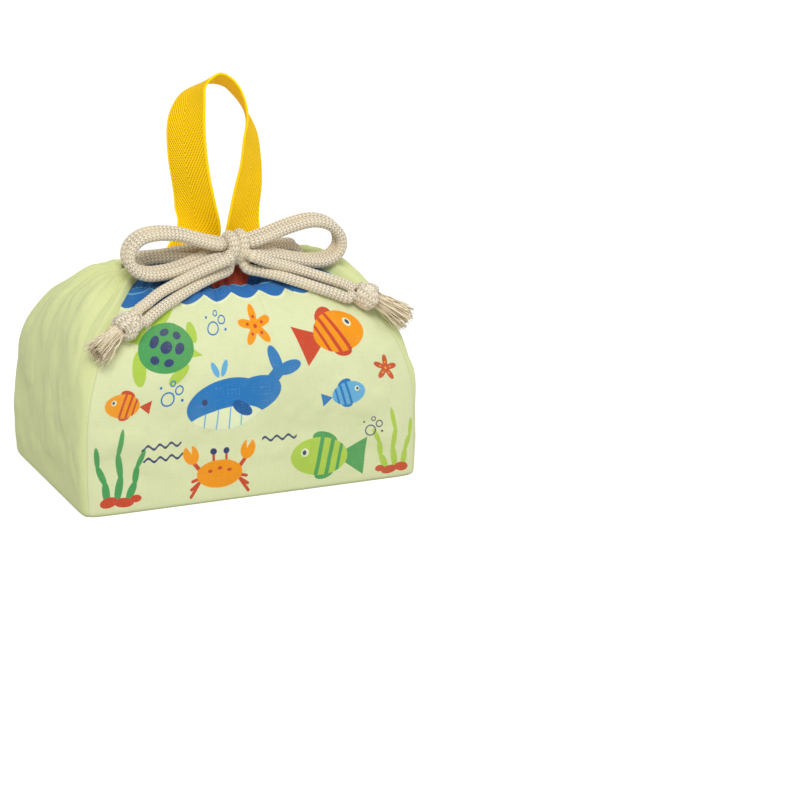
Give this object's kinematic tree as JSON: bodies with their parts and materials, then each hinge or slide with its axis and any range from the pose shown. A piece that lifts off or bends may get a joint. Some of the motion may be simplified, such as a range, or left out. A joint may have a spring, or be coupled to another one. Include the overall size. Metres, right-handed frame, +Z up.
{
  "type": "lunch bag",
  "caption": "Gusseted cloth lunch bag with a flat base, drawn shut by cords tied in a bow, and a looped tape handle.",
  "frame": {"origin": "on the ground under the middle of the bag's base", "axes": "+Z up through the mouth, front panel towards -Y, +X to the right as seen from the front"},
  "size_m": [0.173, 0.1126, 0.1953],
  "materials": {
    "print_cloth": "printed cotton sheeting, matt",
    "plain_cloth": "plain cotton sheeting, matt",
    "sleeve_cloth": "printed cotton sheeting, gathered, matt",
    "cotton_cord": "braided natural cotton",
    "cotton_tassel": "frayed natural cotton",
    "handle_tape": "herringbone twill tape"
  },
  "bodies": {
    "bag": {"front_panel": "print_cloth", "back_panel": "print_cloth", "left_gusset": "plain_cloth", "right_gusset": "plain_cloth", "base_panel": "plain_cloth", "front_sleeve": "sleeve_cloth", "back_sleeve": "sleeve_cloth", "left_drawcord_run": "cotton_cord", "right_drawcord_run": "cotton_cord", "bow_knot": "cotton_cord", "left_lead_front": "cotton_cord", "left_lead_back": "cotton_cord", "right_lead_front": "cotton_cord", "right_lead_back": "cotton_cord", "left_loop_front": "cotton_cord", "left_loop_back": "cotton_cord", "right_loop_front": "cotton_cord", "right_loop_back": "cotton_cord", "handle_sewn_end_left": "handle_tape", "handle_sewn_end_right": "handle_tape"},
    "handle": {"handle_tape": "handle_tape"},
    "left_tail": {"left_tail_upper": "cotton_cord", "left_tail_lower": "cotton_cord", "left_end_knot": "cotton_cord", "left_tassel": "cotton_tassel"},
    "right_tail": {"right_tail_upper": "cotton_cord", "right_tail_lower": "cotton_cord", "right_end_knot": "cotton_cord", "right_tassel": "cotton_tassel"}
  },
  "joints": [
    {"name": "handle_swing", "type": "hinge", "parent": "bag", "child": "handle", "pos_m": [0, 0.0015, 0.107], "axis": [-1, 0, 0], "range_deg": [0, 42], "stiffness_Nm_per_rad": 0.02},
    {"name": "left_tail_lift", "type": "hinge", "parent": "bag", "child": "left_tail", "pos_m": [0.0015, -0.022, 0.114], "axis": [-0.9252, 0.3371, 0.174], "range_deg": [0, 50]},
    {"name": "right_tail_lift", "type": "hinge", "parent": "bag", "child": "right_tail", "pos_m": [0.0015, -0.022, 0.114], "axis": [-0.9252, -0.3371, -0.174], "range_deg": [0, 50]}
  ]
}
